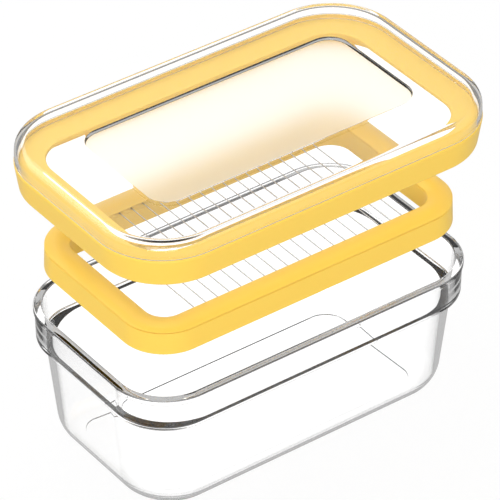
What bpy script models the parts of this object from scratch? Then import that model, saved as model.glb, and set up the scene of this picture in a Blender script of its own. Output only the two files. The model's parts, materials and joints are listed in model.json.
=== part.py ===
"""Wire butter slicer with its storage box: a clear tub, a cutting frame strung with wires, and a lid.

Metres, +Z up, long side along X, front along -Y. The origin is the centre of the tub's base.
The cutting frame and the lid stand lifted straight up off the tub, each on its own carrier.
"""

import math

import bpy

# Tub: every outline below follows the rim's outer edge
RIM_LENGTH = 0.1772
RIM_WIDTH = 0.1034
RIM_CORNER = 0.026
TUB_HEIGHT = 0.0672
RIM_BAND = 0.00385
RIM_ROUND = 0.0006
LIP_HEIGHT = 0.0028
LIP_REACH = 0.0006
COLLAR_HEIGHT = 0.0166
COLLAR_DRAFT = 0.0002
COLLAR_ROUND = 0.0013
COLLAR_CORNER = 0.027
BODY_INSET = 0.0024
BODY_CORNER = 0.0297
BODY_TAPER = 0.0053
BASE_CORNER = 0.0238
FOOT_FILLET = 0.0138
SHELF_DEPTH = 0.0165
SHELF_WIDTH = 0.0018
SHELF_ROUND = 0.0004
SEAT_DRAFT = 0.00095
SEAT_CORNER = 0.0203
CAVITY_CORNER = 0.0255
CAVITY_TAPER = 0.0036
CAVITY_BASE_CORNER = 0.0214
CAVITY_FILLET = 0.0092
FLOOR_THICKNESS = 0.0024
FLOOR_STEP = 0.0005
STEP_DRAFT = 0.00005
STEP_MARGIN = 0.0028

# Cutting frame: sized to drop inside the tub's collar and stand on its shelf
SEAT_CLEARANCE = 0.0005
REST_GAP = 0.0003
CUTTER_LIFT = 0.0363
FRAME_HEIGHT = 0.01035
FRAME_DRAFT = 0.0004
RING_WIDTH = 0.0106
OPENING_CORNER = 0.009
OPENING_DRAFT = 0.0003
SIDE_WALL = 0.002
WEB_THICKNESS = 0.0044

# Wires and the slots that hold their ends
WIRE_COUNT = 19
WIRE_PITCH = 0.006
WIRE_DIAMETER = 0.0005
WIRE_GAP = 0.0002
SLOT_REACH = 0.0045

# Clamp ring: the domed top of the cutting frame, pressed down on the wires, and its tongues and their grooves
PARTING_GAP = 0.0003
CLAMP_EDGE = 0.0005
DOME_RISE = 0.00175
TONGUE_WIDTH = 0.0015
TONGUE_ROOT = 0.0004
TONGUE_GAP = 0.0003
GROOVE_WALL = 0.0008
GROOVE_DEPTH = 0.0028
GROOVE_END_MARGIN = 0.0025

# Lid ring: a flange that lands on the rim, a skirt round the collar and a lip round the shell
LID_CLEARANCE = 0.0019
LID_LIFT = 0.071
SKIRT_WALL = 0.0019
SKIRT_FLARE = 0.0018
SKIRT_CORNER = 0.0315
SKIRT_DEPTH = 0.0093
SKIRT_ROUND = 0.0018
SKIRT_INNER_DRAFT = 0.0003
FLANGE_THICKNESS = 0.0018
FLANGE_WIDTH = 0.0141
FLANGE_CORNER = 0.0155
LIP_WALL = 0.0011
LEDGE_HEIGHT = 0.0021
LEDGE_ROUND = 0.0004

# Lid shell: a clear inverted tray with a frosted panel sunk into its top
SHELL_INSET = 0.0002
SHELL_GAP = 0.0003
SHELL_RISE = 0.0081
SHELL_WALL = 0.0022
SHELL_DRAFT = 0.0002
SHELL_ROUND = 0.004
SHELL_INNER_ROUND = 0.0022
PLATE_THICKNESS = 0.0029
PANEL_LENGTH = 0.1334
PANEL_WIDTH = 0.0604
PANEL_CORNER = 0.0098
PANEL_DEPTH = 0.0015
PANEL_DRAFT = 0.0003

OVERRUN = 0.001

CORNER_STEPS = 10
FILLET_STEPS = 7
ROUND_STEPS = 3
DOME_STEPS = 6
SMOOTH_ANGLE = math.radians(32)


class Outline:
    """A rounded rectangle about the Z axis."""

    def __init__(self, length, width, corner):
        self.length = length
        self.width = width
        self.corner = corner

    def inset(self, amount):
        return Outline(self.length - 2 * amount, self.width - 2 * amount, self.corner - amount)

    def cornered(self, corner):
        return Outline(self.length, self.width, corner)

    def blend(self, other, share):
        return Outline(
            self.length + (other.length - self.length) * share,
            self.width + (other.width - self.width) * share,
            self.corner + (other.corner - self.corner) * share,
        )

    def points(self, z):
        """Points at height z, counter-clockwise seen from above."""
        signs = ((1, 1), (-1, 1), (-1, -1), (1, -1))
        found = []
        for quadrant, (sign_x, sign_y) in enumerate(signs):
            centre_x = sign_x * (self.length / 2 - self.corner)
            centre_y = sign_y * (self.width / 2 - self.corner)
            for step in range(CORNER_STEPS + 1):
                angle = (quadrant + step / CORNER_STEPS) * math.pi / 2
                x = centre_x + self.corner * math.cos(angle)
                y = centre_y + self.corner * math.sin(angle)
                found.append((x, y, z))
        return found


def clear_scene():
    for old in list(bpy.data.objects):
        bpy.data.objects.remove(old, do_unlink=True)


def material(name, color, roughness, metallic=0.0, transmission=0.0):
    made = bpy.data.materials.new(name)
    made.use_nodes = True
    shader = made.node_tree.nodes["Principled BSDF"]
    shader.inputs["Base Color"].default_value = (*color, 1.0)
    shader.inputs["Roughness"].default_value = roughness
    shader.inputs["Metallic"].default_value = metallic
    shader.inputs["Transmission Weight"].default_value = transmission
    return made


def add_object(name, data, finish, carrier=None):
    made = bpy.data.objects.new(name, data)
    made.data.materials.append(finish)
    made.parent = carrier
    bpy.context.collection.objects.link(made)
    return made


def add_carrier(name, height):
    """An empty on the lift axis that carries the pieces which move together."""
    carrier = bpy.data.objects.new(name, None)
    carrier.location = (0, 0, height)
    bpy.context.collection.objects.link(carrier)
    return carrier


def mesh_from(name, points, faces):
    mesh = bpy.data.meshes.new(name)
    mesh.from_pydata(points, [], faces)
    mesh.validate()
    mesh.shade_smooth()
    mesh.set_sharp_from_angle(angle=SMOOTH_ANGLE)
    return mesh


def loft(name, sections, looped):
    """A skin over (outline, z) sections that run up the outside, over the top and down the inside.

    A looped skin joins its last section to its first, and an open one is capped at both ends.
    """
    points = []
    for outline, z in sections:
        points.extend(outline.points(z))
    size = 4 * (CORNER_STEPS + 1)
    count = len(sections)
    faces = []
    for lower in range(count if looped else count - 1):
        upper = (lower + 1) % count
        for here in range(size):
            after = (here + 1) % size
            corners = (lower * size + here, lower * size + after, upper * size + after, upper * size + here)
            faces.append(corners)
    if not looped:
        faces.append(tuple(reversed(range(size))))
        faces.append(tuple(range((count - 1) * size, count * size)))
    return mesh_from(name, points, faces)


def box_mesh(name, boxes):
    """Separate boxes, each given by its lowest and highest corner."""
    points = []
    faces = []
    sides = ((0, 2, 3, 1), (4, 5, 7, 6), (0, 1, 5, 4), (2, 6, 7, 3), (0, 4, 6, 2), (1, 3, 7, 5))
    for low, high in boxes:
        first = len(points)
        for z in (low[2], high[2]):
            for y in (low[1], high[1]):
                for x in (low[0], high[0]):
                    points.append((x, y, z))
        faces.extend(tuple(first + corner for corner in side) for side in sides)
    return mesh_from(name, points, faces)


def add_boolean(target, tool, operation):
    """Apply a tool body to the target, and keep the tool out of sight."""
    tool.hide_render = True
    tool.display_type = "WIRE"
    change = target.modifiers.new(tool.name, "BOOLEAN")
    change.operation = operation
    change.solver = "EXACT"
    change.object = tool


def quarter_round(outer, top_z, radius_in, radius_down):
    """Sections that round an edge from its side, radius_down below top_z, to its flat top."""
    sections = []
    for step in range(ROUND_STEPS + 1):
        angle = step / ROUND_STEPS * math.pi / 2
        inset = radius_in * (1 - math.cos(angle))
        sections.append((outer.inset(inset), top_z - radius_down * (1 - math.sin(angle))))
    return sections


def bowl_sections(top, top_z, base, base_z, fillet):
    """Sections of a tapered bowl, from the edge of its flat base up to its top."""
    taper = (top.length - base.length) / 2
    slope = math.atan2(taper, top_z - base_z)
    turn = math.pi / 2 - slope
    reach = fillet * math.tan(turn / 2)
    sections = []
    for step in range(FILLET_STEPS + 1):
        angle = step / FILLET_STEPS * turn
        inset = reach - fillet * math.sin(angle)
        if inset > 0:
            outline = base.inset(inset)
        else:
            outline = base.blend(top, -inset / taper)
        sections.append((outline, base_z + fillet * (1 - math.cos(angle))))
    sections.append((top, top_z))
    return sections


def rim_outline():
    return Outline(RIM_LENGTH, RIM_WIDTH, RIM_CORNER)


def seat_outline():
    """The collar's inner wall where it meets the shelf."""
    return rim_outline().inset(RIM_BAND + SEAT_DRAFT).cornered(SEAT_CORNER)


def shelf_z():
    return TUB_HEIGHT - SHELF_DEPTH


def build_tub(finish):
    """Clear tub: a tapered body on a rounded foot, a collar with a lip, an inner shelf and a stepped floor."""
    rim = rim_outline()
    body_top = rim.inset(BODY_INSET).cornered(BODY_CORNER)
    body_base = body_top.inset(BODY_TAPER).cornered(BASE_CORNER)
    collar_base_z = TUB_HEIGHT - COLLAR_HEIGHT
    sections = bowl_sections(body_top, collar_base_z, body_base, 0, FOOT_FILLET)

    collar_top = rim.inset(LIP_REACH).cornered(COLLAR_CORNER)
    collar_base = collar_top.inset(COLLAR_DRAFT).cornered(COLLAR_CORNER)
    for step in range(1, ROUND_STEPS + 1):
        angle = step / ROUND_STEPS * math.pi / 2
        outline = body_top.blend(collar_base, math.sin(angle))
        sections.append((outline, collar_base_z + COLLAR_ROUND * (1 - math.cos(angle))))
    lip_z = TUB_HEIGHT - LIP_HEIGHT
    sections.append((collar_top, lip_z))
    sections.append((rim, lip_z + LIP_REACH))
    sections.extend(quarter_round(rim, TUB_HEIGHT, RIM_ROUND, RIM_ROUND))

    inner_top = rim.inset(RIM_BAND)
    for outline, z in reversed(quarter_round(inner_top, TUB_HEIGHT, -RIM_ROUND, RIM_ROUND)):
        sections.append((outline, z))
    sections.append((seat_outline(), shelf_z()))

    cavity_top = seat_outline().inset(SHELF_WIDTH).cornered(CAVITY_CORNER)
    sections.append((cavity_top.inset(-SHELF_ROUND), shelf_z()))
    cavity_base = cavity_top.inset(CAVITY_TAPER).cornered(CAVITY_BASE_CORNER)
    step_z = FLOOR_THICKNESS + FLOOR_STEP
    cavity = bowl_sections(cavity_top, shelf_z() - SHELF_ROUND, cavity_base, step_z, CAVITY_FILLET)
    sections.extend(reversed(cavity))
    step_edge = cavity[0][0].inset(STEP_MARGIN)
    sections.append((step_edge, step_z))
    sections.append((step_edge.inset(STEP_DRAFT), FLOOR_THICKNESS))
    return add_object("tub", loft("tub", sections, looped=False), finish)


def frame_base_outline():
    return seat_outline().inset(SEAT_CLEARANCE)


def frame_top_outline():
    return frame_base_outline().inset(FRAME_DRAFT)


def opening_outline():
    """The cutting frame's inner edge, where the wires come out."""
    return frame_top_outline().inset(RING_WIDTH).cornered(OPENING_CORNER)


def slot_end():
    """Distance from the X axis to the slots' blind ends."""
    return opening_outline().width / 2 + SLOT_REACH


def tongue_near():
    return slot_end() + GROOVE_WALL + TONGUE_GAP


def tongue_far():
    return tongue_near() + TONGUE_WIDTH


def groove_reach():
    """Half the groove's length."""
    return (WIRE_COUNT - 1) * WIRE_PITCH / 2 + GROOVE_END_MARGIN


def wire_z():
    """Height of the wires' centre lines above the frame's base."""
    return FRAME_HEIGHT + PARTING_GAP - WIRE_GAP - WIRE_DIAMETER / 2


def wire_places():
    first = -(WIRE_COUNT - 1) * WIRE_PITCH / 2
    return [first + index * WIRE_PITCH for index in range(WIRE_COUNT)]


def build_cutter_frame(finish, carrier):
    """Yellow lower frame: a channel open below, with the wires' slots and two grooves on top."""
    base = frame_base_outline()
    top = frame_top_outline()
    opening = opening_outline()
    opening_base = opening.inset(-OPENING_DRAFT)
    web_z = FRAME_HEIGHT - WEB_THICKNESS
    sections = [
        (base, 0),
        (top, FRAME_HEIGHT),
        (opening, FRAME_HEIGHT),
        (opening_base, 0),
        (opening_base.inset(-SIDE_WALL), 0),
        (opening_base.inset(-SIDE_WALL), web_z),
        (base.inset(SIDE_WALL), web_z),
        (base.inset(SIDE_WALL), 0),
    ]
    frame = add_object("cutter_frame", loft("cutter_frame", sections, looped=True), finish, carrier)

    slot_half = WIRE_DIAMETER / 2 + WIRE_GAP
    slot_base = wire_z() - slot_half
    cut_top = FRAME_HEIGHT + OVERRUN
    slots = []
    for x in wire_places():
        slots.append(((x - slot_half, -slot_end(), slot_base), (x + slot_half, slot_end(), cut_top)))
    slot_tool = add_object("slot_tool", box_mesh("slot_tool", slots), finish, carrier)
    add_boolean(frame, slot_tool, "DIFFERENCE")

    groove_base = FRAME_HEIGHT - GROOVE_DEPTH
    near = tongue_near() - TONGUE_GAP
    far = tongue_far() + TONGUE_GAP
    grooves = []
    for low_y, high_y in ((-far, -near), (near, far)):
        grooves.append(((-groove_reach(), low_y, groove_base), (groove_reach(), high_y, cut_top)))
    groove_tool = add_object("groove_tool", box_mesh("groove_tool", grooves), finish, carrier)
    add_boolean(frame, groove_tool, "DIFFERENCE")
    return frame


def build_clamp_ring(finish, carrier):
    """Yellow domed ring that closes the slots, with a tongue over each groove."""
    outer = frame_top_outline()
    inner = opening_outline()
    under_z = FRAME_HEIGHT + PARTING_GAP
    edge_z = under_z + CLAMP_EDGE
    sections = [(outer, under_z)]
    for step in range(DOME_STEPS + 1):
        share = step / DOME_STEPS
        rise = DOME_RISE * (1 - (2 * share - 1) ** 2)
        sections.append((outer.blend(inner, share), edge_z + rise))
    sections.append((inner, under_z))
    clamp = add_object("wire_clamp_ring", loft("wire_clamp_ring", sections, looped=True), finish, carrier)

    tongue_base = FRAME_HEIGHT - GROOVE_DEPTH + TONGUE_GAP
    reach = groove_reach() - TONGUE_GAP
    tongues = []
    for low_y, high_y in ((-tongue_far(), -tongue_near()), (tongue_near(), tongue_far())):
        tongues.append(((-reach, low_y, tongue_base), (reach, high_y, under_z + TONGUE_ROOT)))
    tongue_tool = add_object("tongue_tool", box_mesh("tongue_tool", tongues), finish, carrier)
    add_boolean(clamp, tongue_tool, "UNION")
    return clamp


def build_wires(finish, carrier):
    """Stainless cutting wires, one object each, sharing one curve."""
    curve = bpy.data.curves.new("wire", "CURVE")
    curve.dimensions = "3D"
    curve.bevel_depth = WIRE_DIAMETER / 2
    curve.bevel_resolution = 2
    curve.use_fill_caps = True
    reach = slot_end() - WIRE_GAP
    spline = curve.splines.new("POLY")
    spline.points.add(1)
    for point, y in zip(spline.points, (-reach, reach)):
        point.co = (0, y, wire_z(), 1)
    curve.materials.append(finish)
    for number, x in enumerate(wire_places(), start=1):
        wire = bpy.data.objects.new(f"wire_{number:02d}", curve)
        wire.location = (x, 0, 0)
        wire.parent = carrier
        bpy.context.collection.objects.link(wire)


def skirt_inner_outline():
    """The skirt's inner face at its lower end, clear of the tub's rim."""
    return rim_outline().inset(-LID_CLEARANCE).cornered(SKIRT_CORNER - SKIRT_WALL)


def ring_top_outline():
    return skirt_inner_outline().inset(-SKIRT_WALL - SKIRT_FLARE).cornered(SKIRT_CORNER)


def ledge_z():
    """Top of the lip, above the flange's underside."""
    return FLANGE_THICKNESS + LEDGE_HEIGHT


def build_lid_ring(finish, carrier):
    """Yellow ring of the lid: its skirt, the flange that lands on the rim, and the lip."""
    inner = skirt_inner_outline()
    outer_base = inner.inset(-SKIRT_WALL)
    outer_top = ring_top_outline()
    skirt_base = -SKIRT_DEPTH
    sections = []
    for step in range(ROUND_STEPS + 1):
        angle = step / ROUND_STEPS * math.pi / 2
        inset = SKIRT_ROUND * (1 - math.sin(angle))
        sections.append((outer_base.inset(inset), skirt_base + SKIRT_ROUND * (1 - math.cos(angle))))
    sections.extend(quarter_round(outer_top, ledge_z(), LEDGE_ROUND, LEDGE_ROUND))
    lip_inner = outer_top.inset(LIP_WALL)
    sections.append((lip_inner, ledge_z()))
    sections.append((lip_inner, FLANGE_THICKNESS))
    edge = outer_top.inset(FLANGE_WIDTH).cornered(FLANGE_CORNER)
    sections.append((edge, FLANGE_THICKNESS))
    sections.append((edge, 0))
    sections.append((inner.inset(SKIRT_INNER_DRAFT), 0))
    sections.append((inner, skirt_base))
    return add_object("lid_ring", loft("lid_ring", sections, looped=True), finish, carrier)


def build_lid_shell(finish, carrier):
    """Clear top of the lid: an inverted tray whose tenon stands inside the ring's lip."""
    wall_base = ring_top_outline().inset(SHELL_INSET)
    wall_z = ledge_z() + SHELL_GAP
    top_z = wall_z + SHELL_RISE
    under_z = top_z - PLATE_THICKNESS
    tenon_z = FLANGE_THICKNESS + SHELL_GAP
    inner_base = wall_base.inset(SHELL_WALL)
    inner_top = inner_base.inset(SHELL_DRAFT)

    sections = list(reversed(quarter_round(inner_top, under_z, SHELL_INNER_ROUND, SHELL_INNER_ROUND)))
    sections.append((inner_base, tenon_z))
    tenon = ring_top_outline().inset(LIP_WALL + SHELL_GAP)
    sections.append((tenon, tenon_z))
    sections.append((tenon, wall_z))
    sections.append((wall_base, wall_z))
    sections.extend(quarter_round(wall_base.inset(SHELL_DRAFT), top_z, SHELL_ROUND, SHELL_ROUND))
    panel = Outline(PANEL_LENGTH, PANEL_WIDTH, PANEL_CORNER)
    sections.append((panel, top_z))
    sections.append((panel.inset(PANEL_DRAFT), top_z - PANEL_DEPTH))
    return add_object("lid_shell", loft("lid_shell", sections, looped=False), finish, carrier)


def main():
    clear_scene()
    clear_plastic = material("clear_plastic", (0.93, 0.94, 0.93), 0.04, transmission=1.0)
    yellow_plastic = material("yellow_plastic", (1.0, 0.62, 0.12), 0.3)
    steel = material("stainless_wire", (0.8, 0.8, 0.79), 0.25, metallic=1.0)
    shell_plastic = material("lid_clear_plastic", (0.95, 0.95, 0.94), 0.05, transmission=1.0)

    build_tub(clear_plastic)
    cutter = add_carrier("cutter_carrier", shelf_z() + REST_GAP + CUTTER_LIFT)
    build_cutter_frame(yellow_plastic, cutter)
    build_clamp_ring(yellow_plastic.copy(), cutter)
    build_wires(steel, cutter)
    lid = add_carrier("lid_carrier", TUB_HEIGHT + REST_GAP + LID_LIFT)
    build_lid_ring(yellow_plastic.copy(), lid)
    build_lid_shell(shell_plastic, lid)


main()
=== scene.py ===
# %% [markdown]
# # A wire butter slicer and its storage box
#
# The object is a kitchen box in three layers: a clear tub, a yellow cutting frame strung with fine wires,
# and a lid made of a yellow ring and a clear shell. The layers are shown lifted apart, one above the other.
# This lesson dresses the engineering model: each piece gets its moulded curves, and each plastic and the
# steel of the wires get a finish of their own. Places and outer sizes are read off the engineering model,
# and the walls and roundings between them are given here.

# %% Load the engineering model
import json
import math

import bmesh
import bpy
from mathutils import Matrix, Vector

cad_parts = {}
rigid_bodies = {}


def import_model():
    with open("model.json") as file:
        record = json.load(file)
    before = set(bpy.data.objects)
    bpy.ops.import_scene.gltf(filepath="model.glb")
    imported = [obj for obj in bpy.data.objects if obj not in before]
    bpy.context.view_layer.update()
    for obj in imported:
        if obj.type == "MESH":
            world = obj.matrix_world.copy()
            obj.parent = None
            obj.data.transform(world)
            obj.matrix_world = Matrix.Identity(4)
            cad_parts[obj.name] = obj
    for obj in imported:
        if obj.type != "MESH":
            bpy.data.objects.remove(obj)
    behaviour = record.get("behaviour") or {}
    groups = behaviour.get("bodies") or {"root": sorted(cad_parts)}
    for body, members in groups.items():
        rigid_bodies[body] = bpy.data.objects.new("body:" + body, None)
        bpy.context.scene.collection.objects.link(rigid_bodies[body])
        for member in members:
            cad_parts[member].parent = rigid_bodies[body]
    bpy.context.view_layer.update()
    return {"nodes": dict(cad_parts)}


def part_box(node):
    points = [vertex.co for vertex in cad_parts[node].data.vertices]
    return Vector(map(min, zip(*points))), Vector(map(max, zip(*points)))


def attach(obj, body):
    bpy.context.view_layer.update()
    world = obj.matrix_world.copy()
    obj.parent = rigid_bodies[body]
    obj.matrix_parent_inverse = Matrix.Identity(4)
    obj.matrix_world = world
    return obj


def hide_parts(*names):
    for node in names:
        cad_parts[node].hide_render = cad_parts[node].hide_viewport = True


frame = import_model()
mm = 0.001

# %% [markdown]
# ## Sizes
#
# All the large outlines of this box are one rounded rectangle, grown or shrunk: take a plain rectangle, the
# core, and walk round it at a fixed reach. A moulder designs it this way because every wall then keeps its
# thickness round the corners. So a piece is told here by its profile: reach from the core, and height.

# %% Read the driving sizes off the model
tub_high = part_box("tub")[1]
cutter_low, cutter_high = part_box("cutter_frame")
clamp_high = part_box("wire_clamp_ring")[1]
ring_low, ring_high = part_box("lid_ring")
shell_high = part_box("lid_shell")[1]
rim_reach = 26.0 * mm
core = (tub_high.x - rim_reach, tub_high.y - rim_reach)
print(f"core {core[0] / mm:.1f} by {core[1] / mm:.1f} mm, rim top at {tub_high.z / mm:.1f} mm")

# %% [markdown]
# ## Camera
#
# A product picture like this one is taken from far off with a long lens, so the box's parallel edges stay
# nearly parallel. The camera looks down at about 36 degrees, past the box's left front corner.

# %% Place the camera
camera_data = bpy.data.cameras.new("camera")
camera_data.lens = 294.5
camera_data.sensor_width = 36.0
camera_data.clip_end = 20.0
camera = bpy.data.objects.new("camera", camera_data)
bpy.context.scene.collection.objects.link(camera)
camera.location = (-828.4 * mm, -1119.5 * mm, 1108.3 * mm)
aim = Vector((0, 0, 82.5 * mm))
camera.rotation_euler = (aim - camera.location).to_track_quat("-Z", "Y").to_euler()
bpy.context.scene.camera = camera
print(f"camera {(aim - camera.location).length:.2f} m away")


# %% [markdown]
# ## Colour and node helpers
#
# Colours are written as the hex values an artist would pick, and one function turns them into the linear
# numbers that Blender's shaders work in. One more adds a node: each of its sockets is given a value, or a
# node or a socket to take its value from.

# %% Helpers for materials
def linear(hex_code):
    """An sRGB hex colour as a linear RGBA tuple."""
    channels = [int(hex_code[place : place + 2], 16) / 255 for place in (1, 3, 5)]
    curved = [c / 12.92 if c <= 0.04045 else ((c + 0.055) / 1.055) ** 2.4 for c in channels]
    return (*curved, 1.0)


def add_node(tree, kind, sockets=None, **properties):
    """Add a node, set its properties, and give each named or numbered socket a value or a link."""
    node = tree.nodes.new(kind)
    for name, value in properties.items():
        setattr(node, name, value)
    for name, value in (sockets or {}).items():
        if isinstance(value, bpy.types.Node):
            value = value.outputs[0]
        if isinstance(value, bpy.types.NodeSocket):
            tree.links.new(value, node.inputs[name])
        else:
            node.inputs[name].default_value = value
    return node


def new_material(name):
    """An empty node material and its output node."""
    made = bpy.data.materials.new(name)
    made.use_nodes = True
    made.node_tree.nodes.clear()
    return made, made.node_tree.nodes.new("ShaderNodeOutputMaterial")


white = linear("#FFFFFF")
print("white:", white, "and mid grey:", [round(c, 3) for c in linear("#808080")[:3]])

# %% [markdown]
# ## Floor
#
# The box stands on a sweep of plain white paper. To the camera, and to light that comes through clear
# plastic or off a shiny face, the paper glows white, and only a tenth of it stays matt and takes the box's
# soft shadow. To light that a matt face has scattered it is plain paper, or it would light the box from
# below. The glow has three levels. To the camera it is just over white, to make up for the matt tenth.
# Through clear plastic it is brighter, to make up for what the walls reflect. Light that was reflected on
# its way sees it dimmer, and that draws the grey bands at the edges of the tub's walls.

# %% Lay the floor
floor_drop = 0.2 * mm
glowing_share = 0.9
glow_to_camera = 1.03
glow_through_plastic = 1.3
glow_after_reflection = 0.5

bpy.ops.object.select_all(action="DESELECT")
bpy.ops.mesh.primitive_circle_add(vertices=96, radius=3.0, fill_type="NGON", location=(0, 0, -floor_drop))
floor = bpy.context.object
floor.name = "studio_floor"
floor_paint, floor_out = new_material("studio_white_paper")
paper = floor_paint.node_tree
ray = add_node(paper, "ShaderNodeLightPath").outputs
straight = add_node(
    paper, "ShaderNodeMath", {0: ray["Is Camera Ray"], 1: ray["Is Transmission Ray"]}, operation="MAXIMUM"
)
viewed = add_node(paper, "ShaderNodeMath", {0: straight, 1: ray["Is Glossy Ray"]}, operation="MAXIMUM")
unscattered = add_node(
    paper, "ShaderNodeMapRange", {"Value": ray["Diffuse Depth"], "To Min": glowing_share, "To Max": 0.0}
)
share = add_node(paper, "ShaderNodeMath", {0: viewed, 1: unscattered}, operation="MULTIPLY")
bounced = add_node(
    paper,
    "ShaderNodeMapRange",
    {"Value": ray["Glossy Depth"], "To Min": glow_through_plastic, "To Max": glow_after_reflection},
)
level = add_node(
    paper, "ShaderNodeMapRange", {"Value": ray["Is Camera Ray"], "To Min": bounced, "To Max": glow_to_camera}
)
matt = add_node(paper, "ShaderNodeBsdfDiffuse", {"Color": linear("#D8D8D8")})
glow = add_node(paper, "ShaderNodeEmission", {"Strength": level, "Color": white})
blend = add_node(paper, "ShaderNodeMixShader", {0: share, 1: matt, 2: glow})
paper.links.new(blend.outputs[0], floor_out.inputs["Surface"])
floor.data.materials.append(floor_paint)
print("floor laid,", floor_drop / mm, "mm under the tub")

# %% [markdown]
# ## Room
#
# The room round the floor is white to the camera too, and a plain three quarters of white to light that a
# matt face has scattered. Clear plastic shows its edges only where it bends the view towards something
# darker than the paper, so light bent through it sees a room that is dark low down, just above the floor's
# edge, and white higher up. A shiny face sees the room white low down and a little dimmer overhead, where
# its reflection would wash out the yellow under the lid. A direction's height runs from 0, level with the
# floor, to 1, straight up.

# %% Paint the room
scattered_level = 0.75
darkest = 0.2
dark_until, white_from = 0.3, 0.7
overhead_level = 0.7
dim_from, dim_until = 0.4, 0.58

world = bpy.data.worlds.new("studio")
bpy.context.scene.world = world
world.use_nodes = True
air = world.node_tree
air.nodes.clear()
sky_out = air.nodes.new("ShaderNodeOutputWorld")
ray = add_node(air, "ShaderNodeLightPath").outputs
way = add_node(air, "ShaderNodeTexCoord").outputs["Generated"]
upward = add_node(air, "ShaderNodeSeparateXYZ", {0: way}).outputs["Z"]
low_dark = add_node(
    air,
    "ShaderNodeMapRange",
    {"Value": upward, "From Min": dark_until, "From Max": white_from, "To Min": darkest, "To Max": 1.0},
    interpolation_type="SMOOTHSTEP",
)
high_dim = add_node(
    air,
    "ShaderNodeMapRange",
    {"Value": upward, "From Min": dim_from, "From Max": dim_until, "To Min": 1.0, "To Max": overhead_level},
    interpolation_type="SMOOTHSTEP",
)
unscattered = add_node(air, "ShaderNodeMath", {0: ray["Diffuse Depth"], 1: 0.5}, operation="LESS_THAN")
through = add_node(
    air, "ShaderNodeMath", {0: ray["Is Transmission Ray"], 1: unscattered}, operation="MULTIPLY"
)
plain_room = add_node(air, "ShaderNodeBackground", {"Color": white, "Strength": scattered_level})
mirror_room = add_node(air, "ShaderNodeBackground", {"Color": white, "Strength": high_dim})
dark_room = add_node(air, "ShaderNodeBackground", {"Color": white, "Strength": low_dark})
white_room = add_node(air, "ShaderNodeBackground", {"Color": white, "Strength": 1.0})
mirrored = add_node(air, "ShaderNodeMixShader", {0: ray["Is Glossy Ray"], 1: plain_room, 2: mirror_room})
bent = add_node(air, "ShaderNodeMixShader", {0: through, 1: mirrored, 2: dark_room})
whole = add_node(air, "ShaderNodeMixShader", {0: ray["Is Camera Ray"], 1: bent, 2: white_room})
air.links.new(whole.outputs[0], sky_out.inputs["Surface"])
print("room painted with", len(air.nodes), "nodes")


# %% [markdown]
# ## Soft boxes
#
# One large soft box hangs over and behind the object and lights its top edges, and a broad fill comes from
# the camera's side. Both are large for their distance, so the shadows have no edge.

# %% Hang the soft boxes
def add_softbox(name, place, size, power):
    """A rectangular soft light at a place, facing the middle of the object."""
    lamp = bpy.data.lights.new(name, "AREA")
    lamp.shape = "RECTANGLE"
    lamp.size, lamp.size_y = size
    lamp.energy = power
    made = bpy.data.objects.new(name, lamp)
    bpy.context.scene.collection.objects.link(made)
    made.location = place
    middle = Vector((0, 0, 80 * mm))
    made.rotation_euler = (middle - made.location).to_track_quat("-Z", "Y").to_euler()
    return made


add_softbox("overhead_softbox", place=(-0.1, 0.55, 1.0), size=(1.1, 0.9), power=4.6)
add_softbox("front_fill", place=(-1.0, -1.25, 0.55), size=(1.2, 0.8), power=10.5)
bpy.context.scene.view_settings.view_transform = "Standard"

# %% [markdown]
# ## Clear plastic
#
# The tub and the lid's shell are clear SAN, the hard, glass-like plastic of refrigerator boxes, injection
# moulded in polished steel. Polished clear plastic is a smooth dielectric: it shows its walls only at its
# edges. A real moulding isn't perfectly flat, so a slow, shallow waviness moves its reflections a little.
# Light passes it on its way to what stands behind, so for shadow rays it is nearly transparent. The floor
# of the lid's recess is the same plastic, frosted by a texture in the mould. Its grain is drawn 0.6 mm
# wide, coarser than the real one, so that it shows, and it spreads what is seen through it into soft colour.
# It is also tinted a warm cream, which is a painted glow of the yellow light bounced into it.

# %% Make the clear plastics
SAN_IOR = 1.567
WAVE_HEIGHT = 0.01 * mm


def make_clear_plastic(name, shadow, tint_and_painted_glow="#FFFFFF", roughness=0.0, clear=1.0, wave_mm=30.0):
    """Clear moulded SAN. Waves are wave_mm apart, shadow is the colour of the light it lets by, and a tint
    other than white is painted glow.
    """
    made, out = new_material(name)
    tree = made.node_tree
    place = add_node(tree, "ShaderNodeTexCoord").outputs["Object"]
    waves = add_node(
        tree, "ShaderNodeTexNoise", {"Vector": place, "Scale": 1 / (wave_mm * mm), "Detail": 1.0}
    )
    bump = add_node(tree, "ShaderNodeBump", {"Height": waves.outputs["Fac"], "Distance": WAVE_HEIGHT})
    plastic = add_node(
        tree,
        "ShaderNodeBsdfPrincipled",
        {
            "Base Color": linear(tint_and_painted_glow),
            "Roughness": roughness,
            "IOR": SAN_IOR,
            "Transmission Weight": clear,
            "Normal": bump,
        },
    )
    passing = add_node(tree, "ShaderNodeBsdfTransparent", {"Color": linear(shadow)})
    ray = add_node(tree, "ShaderNodeLightPath").outputs
    both = add_node(tree, "ShaderNodeMixShader", {0: ray["Is Shadow Ray"], 1: plastic, 2: passing})
    tree.links.new(both.outputs[0], out.inputs["Surface"])
    return made


tub_plastic = make_clear_plastic("clear_SAN_tub", shadow="#EFEFEF")
lid_plastic = make_clear_plastic("clear_SAN_lid", shadow="#F6F6F4")
# The frosted panel's warm cream tint is painted glow, standing in for the yellow parts' light bounced into
# it.
frosted_plastic_painted_glow = make_clear_plastic(
    "frosted_SAN_panel_painted_glow", shadow="#F4F2EE", tint_and_painted_glow="#FFF8E2", roughness=0.28, clear=0.92, wave_mm=0.6
)
print("clear plastics:", tub_plastic.name, lid_plastic.name, frosted_plastic_painted_glow.name)

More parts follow.
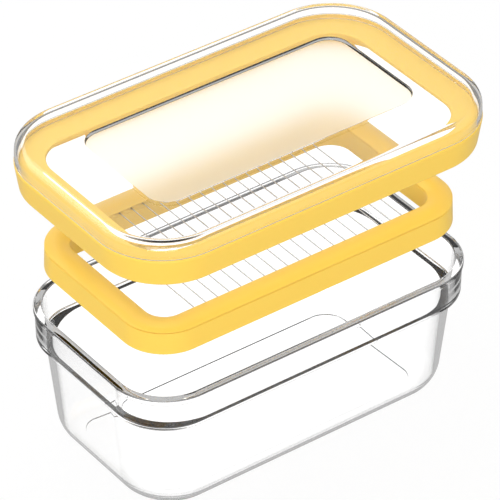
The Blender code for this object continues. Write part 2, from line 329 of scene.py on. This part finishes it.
# %% [markdown]
# ## Yellow plastic
#
# The frame and the lid's ring are coloured polypropylene, moulded in a fine-textured steel. Polypropylene
# is slightly waxy: light enters it and comes out a little way off, which keeps its shaded sides warm. The
# mould's fine texture spreads the highlight, so it is drawn as a grain of 0.3 mm.

# %% Make the yellow plastic
grain_width = 0.3 * mm
grain_height = 0.006 * mm
soak_depth = 1.5 * mm

frame_plastic, plastic_out = new_material("yellow_polypropylene")
plastic_tree = frame_plastic.node_tree
plastic_place = add_node(plastic_tree, "ShaderNodeTexCoord").outputs["Object"]
grain = add_node(
    plastic_tree, "ShaderNodeTexNoise", {"Vector": plastic_place, "Scale": 1 / grain_width, "Detail": 2.0}
)
grain_bump = add_node(
    plastic_tree, "ShaderNodeBump", {"Height": grain.outputs["Fac"], "Distance": grain_height}
)
polypropylene = add_node(
    plastic_tree,
    "ShaderNodeBsdfPrincipled",
    {
        "Base Color": linear("#FFD458"),
        "Roughness": 0.36,
        "IOR": 1.49,
        "Specular IOR Level": 0.4,
        "Subsurface Weight": 0.12,
        "Subsurface Radius": (1.0, 0.6, 0.25),
        "Subsurface Scale": soak_depth,
        "Normal": grain_bump,
    },
)
plastic_tree.links.new(polypropylene.outputs[0], plastic_out.inputs["Surface"])
print("yellow plastic:", frame_plastic.name)

# %% [markdown]
# ## Wire
#
# The cutting wires are drawn stainless steel, half a millimetre thick. Drawing leaves fine lines along the
# wire, too fine to see, which only soften its one bright line of reflection. They are drawn a tenth of a
# millimetre apart, and twenty times as long.

# %% Make the wire's steel
line_spacing = 0.1 * mm

wire_steel, steel_out = new_material("drawn_stainless_steel")
steel_tree = wire_steel.node_tree
steel_place = add_node(steel_tree, "ShaderNodeTexCoord").outputs["Object"]
stretch = add_node(steel_tree, "ShaderNodeMapping", {"Vector": steel_place, "Scale": (1, 0.05, 1)})
lines = add_node(
    steel_tree, "ShaderNodeTexNoise", {"Vector": stretch, "Scale": 1 / line_spacing, "Detail": 2.0}
)
spread = add_node(
    steel_tree, "ShaderNodeMapRange", {"Value": lines.outputs["Fac"], "To Min": 0.18, "To Max": 0.32}
)
steel = add_node(
    steel_tree,
    "ShaderNodeBsdfPrincipled",
    {"Base Color": linear("#C6C6C8"), "Metallic": 1.0, "Roughness": spread},
)
steel_tree.links.new(steel.outputs[0], steel_out.inputs["Surface"])
print("wire:", wire_steel.name)

# %% [markdown]
# ## Drawing a profile
#
# A moulded ring or tub is one profile carried round the core. The profile's corners are given with a radius
# each, and a helper puts an arc there. A short step beside each arc keeps the flat faces flat when the
# surface is shaded smooth.

# %% Helpers that round a profile
ARC_STEP = math.radians(9)
SUPPORT = 0.35 * mm


def round_profile(corners, looped=False):
    """Points (reach, height) of a profile from its corners (reach, height, radius)."""
    points = []
    count = len(corners)
    for index, (reach, height, radius) in enumerate(corners):
        here = Vector((reach, height))
        at_end = not looped and index in (0, count - 1)
        if at_end or radius == 0:
            points.append(here)
            continue
        back = (Vector(corners[index - 1][:2]) - here).normalized()
        ahead = (Vector(corners[(index + 1) % count][:2]) - here).normalized()
        half = back.angle(ahead) / 2
        centre = here + (back + ahead).normalized() * radius / math.sin(half)
        start = here + back * radius / math.tan(half) - centre
        end = here + ahead * radius / math.tan(half) - centre
        turn = math.atan2(start.x * end.y - start.y * end.x, start.dot(end))
        steps = max(3, math.ceil(abs(turn) / ARC_STEP))
        for step in range(steps + 1):
            points.append(centre + Matrix.Rotation(turn * step / steps, 2) @ start)
    return points


def add_supports(points, looped):
    """The same profile with a point beside each end of every long straight run."""
    found = []
    count = len(points)
    for index, here in enumerate(points):
        found.append(here)
        if index == count - 1 and not looped:
            break
        run = points[(index + 1) % count] - here
        if run.length > 4 * SUPPORT:
            step = run.normalized() * SUPPORT
            found.append(here + step)
            found.append(here + run - step)
    return found


sample = round_profile([(0, 0, 0), (10 * mm, 0, 2 * mm), (10 * mm, 10 * mm, 0)])
print("a corner of 2 mm radius takes", len(sample) - 2, "points")

# %% [markdown]
# ## Sweeping a profile
#
# By hand, a profile is drawn as a chain of extruded points. It is then extruded along each straight side
# and spun a quarter turn about each of the core's corners, and back at its start it meets itself. A spin
# turns clockwise about its axis, so an axis that points down carries the profile anticlockwise, seen from
# above.

# %% Helpers that draw and sweep a profile
CORNER_STEPS = 24
CLOSE = 0.002 * mm


def new_piece(name):
    """An empty mesh object at the origin, in edit mode."""
    bpy.ops.object.select_all(action="DESELECT")
    bpy.ops.mesh.primitive_plane_add(size=1.0)
    made = bpy.context.object
    made.name = name
    made.data.name = name
    bpy.ops.object.mode_set(mode="EDIT")
    bpy.ops.mesh.delete(type="VERT")
    return made


def draw_profile(points, looped, start_x, start_y):
    """Draw a profile by extruding a point along it, standing out from (start_x, start_y) along X."""
    bpy.ops.mesh.select_all(action="DESELECT")
    first = points[0]
    bpy.ops.mesh.primitive_plane_add(size=1 * mm, location=(start_x + first.x, start_y, first.y))
    bpy.ops.mesh.merge(type="CENTER")
    for before, after in zip(points, points[1:]):
        move = (after.x - before.x, 0, after.y - before.y)
        bpy.ops.mesh.extrude_vertices_move(TRANSFORM_OT_translate={"value": move})
    bpy.ops.mesh.select_linked()
    if looped:
        ends = (points[0], points[-1])
        mesh = bmesh.from_edit_mesh(bpy.context.object.data)
        for vert in mesh.verts:
            near = any((vert.co - Vector((start_x + e.x, start_y, e.y))).length < CLOSE for e in ends)
            vert.select_set(near and vert.select)
        mesh.select_flush_mode()
        bpy.ops.mesh.edge_face_add()
        bpy.ops.mesh.select_linked()


def sweep_profile(points, around, looped=False):
    """Draw a profile and carry it round a core, by straight extrusions and quarter spins."""
    half_x, half_y = around
    draw_profile(add_supports(points, looped), looped, half_x, -half_y)
    sides = (
        ((0, 1, 0), half_y, (half_x, half_y, 0)),
        ((-1, 0, 0), half_x, (-half_x, half_y, 0)),
        ((0, -1, 0), half_y, (-half_x, -half_y, 0)),
        ((1, 0, 0), half_x, (half_x, -half_y, 0)),
    )
    for heading, half, corner in sides:
        for length in (SUPPORT, 2 * half - 2 * SUPPORT, SUPPORT):
            move = tuple(part * length for part in heading)
            bpy.ops.mesh.extrude_edges_move(TRANSFORM_OT_translate={"value": move})
        bpy.ops.mesh.spin(steps=CORNER_STEPS, angle=math.pi / 2, center=corner, axis=(0, 0, -1))


def merge_doubles():
    """Join the points that lie on each other, over the whole mesh in edit mode."""
    bpy.ops.mesh.select_all(action="SELECT")
    bpy.ops.mesh.remove_doubles(threshold=CLOSE)


print("each corner is swept in", CORNER_STEPS, "steps")

# %% [markdown]
# ## Ledges and flat faces
#
# Where a piece changes from one core to another, a flat ledge lies between two loops of edges. The open
# loop is extruded in place, and each new point is carried from the old outline to the same place on the new
# one, so the ledge's faces run straight across. A flat middle is one face with a narrow border, which keeps
# it flat when it is shaded smooth.

# %% Helpers that close a piece
SMOOTH_ANGLE = math.radians(32)


def select_loop(piece, height, half_x, reach):
    """Select the open loop at a height that has a reach from the core along X."""
    bpy.ops.mesh.select_all(action="DESELECT")
    mesh = bmesh.from_edit_mesh(piece.data)
    ends = [v for v in mesh.verts if v.is_boundary and abs(v.co.z - height) < CLOSE]
    start = min(ends, key=lambda v: abs(v.co.x - half_x - reach) + abs(v.co.y) * CLOSE)
    stack = [start]
    loop = {start}
    while stack:
        for edge in stack.pop().link_edges:
            if edge.is_boundary:
                edge.select_set(True)
                new = {vert for vert in edge.verts if vert not in loop}
                loop |= new
                stack.extend(new)
    bmesh.update_edit_mesh(piece.data)
    return len(loop)


def cap_loop(piece, height, half_x, reach):
    """Close an open loop with a flat face, and keep its middle flat with an inset."""
    select_loop(piece, height, half_x, reach)
    bpy.ops.mesh.edge_face_add()
    bpy.ops.mesh.inset(thickness=2 * SUPPORT)


def carry(value, old_half, old_reach, new_half, new_reach):
    """One coordinate of an outline's point, carried from one core and reach to another."""
    beyond = abs(value) - old_half
    if beyond > 0:
        beyond *= new_reach / old_reach
    return math.copysign(new_half + beyond, value)


def lay_ledge(piece, height, old_core, old_reach, new_core, new_reach):
    """Extrude the open loop at one core and reach flat, onto the loop at another core and reach."""
    count = select_loop(piece, height, old_core[0], old_reach)
    bpy.ops.mesh.extrude_edges_move()
    mesh = bmesh.from_edit_mesh(piece.data)
    for vert in mesh.verts:
        if vert.select:
            vert.co.x = carry(vert.co.x, old_core[0], old_reach, new_core[0], new_reach)
            vert.co.y = carry(vert.co.y, old_core[1], old_reach, new_core[1], new_reach)
    bmesh.update_edit_mesh(piece.data)
    merge_doubles()
    print(f"{piece.name}: a ledge of {count} faces at {height / mm:.1f} mm")


def count_open_edges(piece):
    """How many edges don't have a face on each side. A closed piece has none."""
    mesh = bmesh.new()
    mesh.from_mesh(piece.data)
    found = sum(1 for edge in mesh.edges if len(edge.link_faces) != 2)
    mesh.free()
    return found


def finish_piece(piece, *materials):
    """Merge the seams, turn the faces out, leave edit mode, shade smooth and give the finish."""
    merge_doubles()
    bpy.ops.mesh.normals_make_consistent(inside=False)
    bpy.ops.object.mode_set(mode="OBJECT")
    bpy.ops.object.shade_smooth_by_angle(angle=SMOOTH_ANGLE)
    for finish in materials:
        piece.data.materials.append(finish)
    open_edges = count_open_edges(piece)
    size = piece.dimensions / mm
    print(
        f"{piece.name}: {len(piece.data.polygons)} faces, {open_edges} open edges, "
        f"{size.x:.1f} x {size.y:.1f} x {size.z:.1f} mm"
    )


print(f"faces that meet at less than {math.degrees(SMOOTH_ANGLE):.0f} degrees are shaded as one surface")

# %% [markdown]
# ## Tub
#
# The tub is a tapered body on a rounded foot, with a straight collar on top. Its corners are rounder in the
# body than in the collar, so the two are swept round cores of their own, and a flat ledge carries each open
# loop of the body across to the collar's. The inside ledge is the shelf that the cutting frame stands on.
# The foot is rounded inside as well as outside, so the wall stays nearly even round it and draws a thin
# grey band, and the floor's middle is sunk by half a millimetre, which draws a thin line inside.

# %% Set out the tub
collar_z = tub_high.z - 16.6 * mm
shelf_z = tub_high.z - 16.5 * mm
floor_z = 2.4 * mm
step_z = floor_z + 0.5 * mm
step_reach = 10.6 * mm

body_inset = 2.4 * mm
body_reach = 29.7 * mm
body_taper = 5.3 * mm
foot_round = 13.8 * mm
body_core = (tub_high.x - body_inset - body_reach, tub_high.y - body_inset - body_reach)

body_wall = 4.2 * mm
cavity_reach = body_reach - body_wall
cavity_taper = 3.6 * mm
cavity_round = 9.2 * mm
cavity_mouth = cavity_reach + 0.8 * mm

collar_root = rim_reach - 2.2 * mm
collar_face = rim_reach - 0.8 * mm
collar_round = 1.3 * mm
rim_band = 3.85 * mm
seat_reach = rim_reach - rim_band - 0.95 * mm
shelf_reach = seat_reach - 0.5 * mm
print(f"floor {floor_z / mm:.1f} mm, wall {body_wall / mm:.1f} mm below the shelf at {shelf_z / mm:.1f} mm")

# %% Sweep the tub's outside and its cavity
tub = new_piece("tub_body")
body_corners = [
    (0.0, 0.0, 0),
    (body_reach - body_taper, 0.0, foot_round),
    (body_reach, collar_z, 0),
]
foot = round_profile(body_corners)
foot[0] = foot[1] - Vector((SUPPORT, 0))
sweep_profile(foot, body_core)

step_round = 0.1 * mm
step_slope = 0.05 * mm
cavity_corners = [
    (0.0, floor_z, 0),
    (step_reach - step_slope, floor_z, step_round),
    (step_reach, step_z, step_round),
    (cavity_reach - cavity_taper, step_z, cavity_round),
    (cavity_reach, shelf_z, 0.4 * mm),
    (cavity_mouth, shelf_z, 0),
]
cavity = round_profile(cavity_corners)
cavity[0] = cavity[1] - Vector((SUPPORT, 0))
sweep_profile(cavity, body_core)
print(f"{tub.name}: body and cavity from {len(foot)} and {len(cavity)} profile points")

# %% Sweep the tub's collar and close the tub
root_steps = 8
underside = []
for step in range(root_steps + 1):
    turn = math.pi / 2 * step / root_steps
    reach = collar_root + (collar_face - collar_root) * math.sin(turn)
    underside.append((reach, collar_z + collar_round * (1 - math.cos(turn)), 0))
lip_overhang = 0.6 * mm
lip_top = tub_high.z - 2.2 * mm
collar_corners = underside + [
    (rim_reach - lip_overhang, lip_top - lip_overhang, 0.3 * mm),
    (rim_reach, lip_top, 0.3 * mm),
    (rim_reach, tub_high.z, 0.6 * mm),
    (rim_reach - rim_band, tub_high.z, 0.6 * mm),
    (seat_reach, shelf_z, 0.4 * mm),
    (shelf_reach, shelf_z, 0),
]
sweep_profile(round_profile(collar_corners), core)
merge_doubles()

lay_ledge(tub, collar_z, body_core, body_reach, core, collar_root)
lay_ledge(tub, shelf_z, body_core, cavity_mouth, core, shelf_reach)
cap_loop(tub, 0.0, body_core[0], foot[0].x)
cap_loop(tub, floor_z, body_core[0], cavity[0].x)
finish_piece(tub, tub_plastic)
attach(tub, "base")
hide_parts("tub")

# %% [markdown]
# ## Cutting frame
#
# The frame is a moulded channel, open underneath, so that its walls stay thin. Its top is flat, with a slot
# for each end of each wire and a groove along each long side that takes the clamp ring's tongue.

# %% Model the cutting frame
frame_top = cutter_high.z
frame_base = cutter_low.z
outer_draft = 0.4 * mm
inner_draft = 0.3 * mm
top_width = 10.6 * mm
side_wall = 2.0 * mm
web_z = frame_top - 4.4 * mm
cutter_reach = cutter_high.x - core[0]
shoulder_reach = cutter_reach - outer_draft
opening_reach = shoulder_reach - top_width
inner_foot = opening_reach + inner_draft
cutter_corners = [
    (cutter_reach, frame_base, 0.5 * mm),
    (shoulder_reach, frame_top, 0.35 * mm),
    (opening_reach, frame_top, 0.15 * mm),
    (inner_foot, frame_base, 0.5 * mm),
    (inner_foot + side_wall, frame_base, 0.4 * mm),
    (inner_foot + side_wall, web_z, 0.8 * mm),
    (cutter_reach - side_wall, web_z, 0.8 * mm),
    (cutter_reach - side_wall, frame_base, 0.4 * mm),
]
cutting_frame = new_piece("cutting_frame")
sweep_profile(round_profile(cutter_corners, looped=True), core, looped=True)
finish_piece(cutting_frame, frame_plastic)

# %% Set out the wires' slots and the grooves
wire_places = []
for node in sorted(frame["nodes"]):
    if node.startswith("wire_") and node[5:].isdigit():
        low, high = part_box(node)
        wire_places.append((node, (low + high) / 2, high.y))
wire_radius = 0.25 * mm
wire_gap = 0.2 * mm
slot_end = wire_places[0][2] + wire_gap
slot_width = 2 * (wire_radius + wire_gap)
slot_depth = frame_top - (wire_places[0][1].z - wire_radius - wire_gap)
groove_width = 2.1 * mm
groove_depth = 2.8 * mm
groove_y = slot_end + 0.8 * mm + groove_width / 2
groove_reach = wire_places[-1][1].x + 2.5 * mm
print(f"{len(wire_places)} wires, slots {slot_depth / mm:.2f} mm deep, grooves {groove_y / mm:.1f} mm out")


# %% Cut the slots and the grooves
def combine_boxes(piece, boxes, operation):
    """Cut boxes out of a piece, or join them to it. Each is given by its centre and size."""
    bpy.ops.object.select_all(action="DESELECT")
    made = []
    for centre, size in boxes:
        bpy.ops.mesh.primitive_cube_add(size=1.0, location=centre, scale=size)
        bpy.ops.object.transform_apply(location=True, rotation=True, scale=True)
        made.append(bpy.context.object)
    for tool in made:
        tool.select_set(True)
    bpy.ops.object.join()
    tool = bpy.context.object
    bpy.ops.object.select_all(action="DESELECT")
    bpy.context.view_layer.objects.active = piece
    piece.select_set(True)
    change = piece.modifiers.new("change", "BOOLEAN")
    change.operation = operation
    change.object = tool
    bpy.ops.object.modifier_apply(modifier=change.name)
    bpy.data.objects.remove(tool)


slot_size = (slot_width, 2 * slot_end, 2 * slot_depth)
slots = [((centre.x, 0, frame_top), slot_size) for node, centre, end in wire_places]
combine_boxes(cutting_frame, slots, "DIFFERENCE")
groove_size = (2 * groove_reach, groove_width, 2 * groove_depth)
grooves = [((0, side * groove_y, frame_top), groove_size) for side in (-1, 1)]
combine_boxes(cutting_frame, grooves, "DIFFERENCE")
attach(cutting_frame, "cutter")
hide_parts("cutter_frame")
print(f"{len(slots)} slots and {len(grooves)} grooves, {count_open_edges(cutting_frame)} open edges")

# %% [markdown]
# ## Clamp ring
#
# The frame's softly domed top is a ring of its own, pressed down over the wires once they are strung. Its
# profile is a shallow arch between two low edges, and a tongue under each long side fits the frame's groove.

# %% Model the clamp ring
clamp_base = frame_top + 0.3 * mm
clamp_edge = clamp_base + 0.5 * mm
dome_rise = clamp_high.z - clamp_edge
dome_steps = 20
dome = []
for step in range(dome_steps + 1):
    across = step / dome_steps
    reach = shoulder_reach + (opening_reach - shoulder_reach) * across
    dome.append((reach, clamp_edge + dome_rise * (1 - (2 * across - 1) ** 2), 0))
clamp_corners = [(shoulder_reach, clamp_base, 0.2 * mm)] + dome + [(opening_reach, clamp_base, 0.1 * mm)]
clamp_ring = new_piece("clamp_ring")
sweep_profile(round_profile(clamp_corners, looped=True), core, looped=True)
finish_piece(clamp_ring, frame_plastic)

# %% Join the clamp ring's tongues
tongue_gap = 0.3 * mm
tongue_low = frame_top - 2.5 * mm
tongue_high = clamp_base + 0.3 * mm
tongue_z = (tongue_high + tongue_low) / 2
tongue_size = (2 * groove_reach - 2 * tongue_gap, groove_width - 2 * tongue_gap, tongue_high - tongue_low)
tongues = [((0, side * groove_y, tongue_z), tongue_size) for side in (-1, 1)]
combine_boxes(clamp_ring, tongues, "UNION")
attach(clamp_ring, "cutter")
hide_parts("wire_clamp_ring")
print(f"clamp ring with {len(tongues)} tongues, {count_open_edges(clamp_ring)} open edges")

# %% [markdown]
# ## Wires
#
# Each wire is a straight length of drawn steel with its ends cut square and lightly deburred. One is made
# from a cylinder, with its rims bevelled, and the others are copies at the places that the model gives.

# %% Model the wires
deburr = 0.06 * mm
_, first_centre, first_end = wire_places[0]
bpy.ops.object.select_all(action="DESELECT")
bpy.ops.mesh.primitive_cylinder_add(
    vertices=16, radius=wire_radius, depth=2 * first_end, location=first_centre, rotation=(math.pi / 2, 0, 0)
)
bpy.ops.object.transform_apply(location=True, rotation=True, scale=True)
pattern = bpy.context.object
bpy.ops.object.mode_set(mode="EDIT")
bpy.ops.mesh.select_all(action="DESELECT")
wire_mesh = bmesh.from_edit_mesh(pattern.data)
for edge in wire_mesh.edges:
    if abs(edge.verts[0].co.y - edge.verts[1].co.y) < CLOSE:
        edge.select_set(True)
bmesh.update_edit_mesh(pattern.data)
bpy.ops.mesh.bevel(offset=deburr, segments=2, affect="EDGES")
bpy.ops.object.mode_set(mode="OBJECT")
bpy.ops.object.shade_smooth_by_angle(angle=SMOOTH_ANGLE)
pattern.data.materials.append(wire_steel)
for node, centre, _ in wire_places:
    wire = pattern.copy()
    wire.data = pattern.data.copy()
    wire.name = f"cutting_{node}"
    bpy.context.scene.collection.objects.link(wire)
    wire.data.transform(Matrix.Translation(centre - first_centre))
    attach(wire, "cutter")
    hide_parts(node)
bpy.data.objects.remove(pattern)
print(len(wire_places), "wires")

# %% [markdown]
# ## Lid ring
#
# The ring is the lid's frame: a flange that lands on the tub's rim, a flared skirt round the collar, and a
# low lip that the clear shell stands on. Its lower edge is well rounded, as moulded handles are.

# %% Set out the lid ring
flange_z = ring_low.z + 9.3 * mm
flange_top = flange_z + 1.8 * mm
ledge_z = ring_high.z
lip_width = 1.1 * mm
shoulder_drop = 1.0 * mm
ring_reach = ring_high.x - core[0]
skirt_reach = ring_reach - 1.8 * mm
skirt_inner = skirt_reach - 1.9 * mm
skirt_draft = 0.3 * mm
flange_root = ring_reach - 9 * mm

flange_width = 14.1 * mm
flange_corner = 15.5 * mm
flange_core = (ring_high.x - flange_width - flange_corner, ring_high.y - flange_width - flange_corner)
flange_joint = flange_corner + 0.8 * mm
print(f"flange {(flange_top - flange_z) / mm:.1f} mm thick, skirt {(flange_z - ring_low.z) / mm:.1f} mm deep")

# %% Model the lid ring
skirt_corners = [
    (flange_root, flange_z, 0),
    (skirt_inner - skirt_draft, flange_z, 0.8 * mm),
    (skirt_inner, ring_low.z, 0.3 * mm),
    (skirt_reach, ring_low.z, 1.7 * mm),
    (ring_reach, ledge_z - shoulder_drop, 2.0 * mm),
    (ring_reach, ledge_z, 0.75 * mm),
    (ring_reach - lip_width, ledge_z, 0.2 * mm),
    (ring_reach - lip_width, flange_top, 0.2 * mm),
    (flange_root, flange_top, 0),
]
lid_ring = new_piece("lid_ring_skirt")
sweep_profile(round_profile(skirt_corners), core)
edge_corners = [
    (flange_joint, flange_z, 0),
    (flange_corner, flange_z, 0.5 * mm),
    (flange_corner, flange_top, 0.5 * mm),
    (flange_joint, flange_top, 0),
]
sweep_profile(round_profile(edge_corners), flange_core)
merge_doubles()
for height in (flange_z, flange_top):
    lay_ledge(lid_ring, height, flange_core, flange_joint, core, flange_root)
finish_piece(lid_ring, frame_plastic)
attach(lid_ring, "lid")
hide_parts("lid_ring")

# %% [markdown]
# ## Lid shell
#
# The shell is a clear tray turned upside down. The middle of its top is a shallow recess, and the recess's
# floor is frosted by a texture in the mould, so the eye sees only soft colour through it. The recess has a
# core of its own, because its corners are sharper than the shell's.

# %% Sweep the shell
shell_top = shell_high.z
under_z = shell_top - 2.9 * mm
shell_wall = 2.2 * mm
shell_draft = 0.2 * mm
joint_gap = 0.3 * mm
wall_base = ledge_z + joint_gap
tenon_z = flange_top + joint_gap
tenon_reach = ring_reach - lip_width - joint_gap
shell_reach = shell_high.x - core[0]

lid_shell = new_piece("clear_lid_shell")
shell_corners = [
    (0.0, under_z, 0),
    (shell_reach - shell_wall - shell_draft, under_z, 2.2 * mm),
    (shell_reach - shell_wall, tenon_z, 0.2 * mm),
    (tenon_reach, tenon_z, 0.2 * mm),
    (tenon_reach, wall_base, 0.1 * mm),
    (shell_reach, wall_base, 0.2 * mm),
    (shell_reach - shell_draft, shell_top, 4.0 * mm),
    (0.0, shell_top, 0),
]
shell = round_profile(shell_corners)
shell[0] = shell[1] - Vector((SUPPORT, 0))
shell[-1] = shell[-2] - Vector((SUPPORT, 0))
sweep_profile(shell, core)
print(f"{lid_shell.name}: swept from {len(shell)} profile points")

# %% Sink the recess and close the shell
panel_core = (56.9 * mm, 20.4 * mm)
panel_reach = 9.8 * mm
panel_z = shell_top - 1.5 * mm
panel_joint = panel_reach + 1 * mm
panel_draft = 0.3 * mm
panel_border = 1.5 * mm
recess_corners = [
    (panel_joint, shell_top, 0),
    (panel_reach, shell_top, 0.25 * mm),
    (panel_reach - panel_draft, panel_z, 0.15 * mm),
    (panel_reach - panel_border, panel_z, 0),
]
recess = round_profile(recess_corners)
sweep_profile(recess, panel_core)
merge_doubles()
cap_loop(lid_shell, panel_z, panel_core[0], recess[-1].x)
cap_loop(lid_shell, under_z, core[0], shell[0].x)
lay_ledge(lid_shell, shell_top, panel_core, panel_joint, core, shell[-1].x)
shell_mesh = bmesh.from_edit_mesh(lid_shell.data)
for face in shell_mesh.faces:
    if all(abs(vert.co.z - panel_z) < CLOSE for vert in face.verts):
        face.material_index = 1
bmesh.update_edit_mesh(lid_shell.data)
finish_piece(lid_shell, lid_plastic, frosted_plastic_painted_glow)
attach(lid_shell, "lid")
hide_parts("lid_shell")
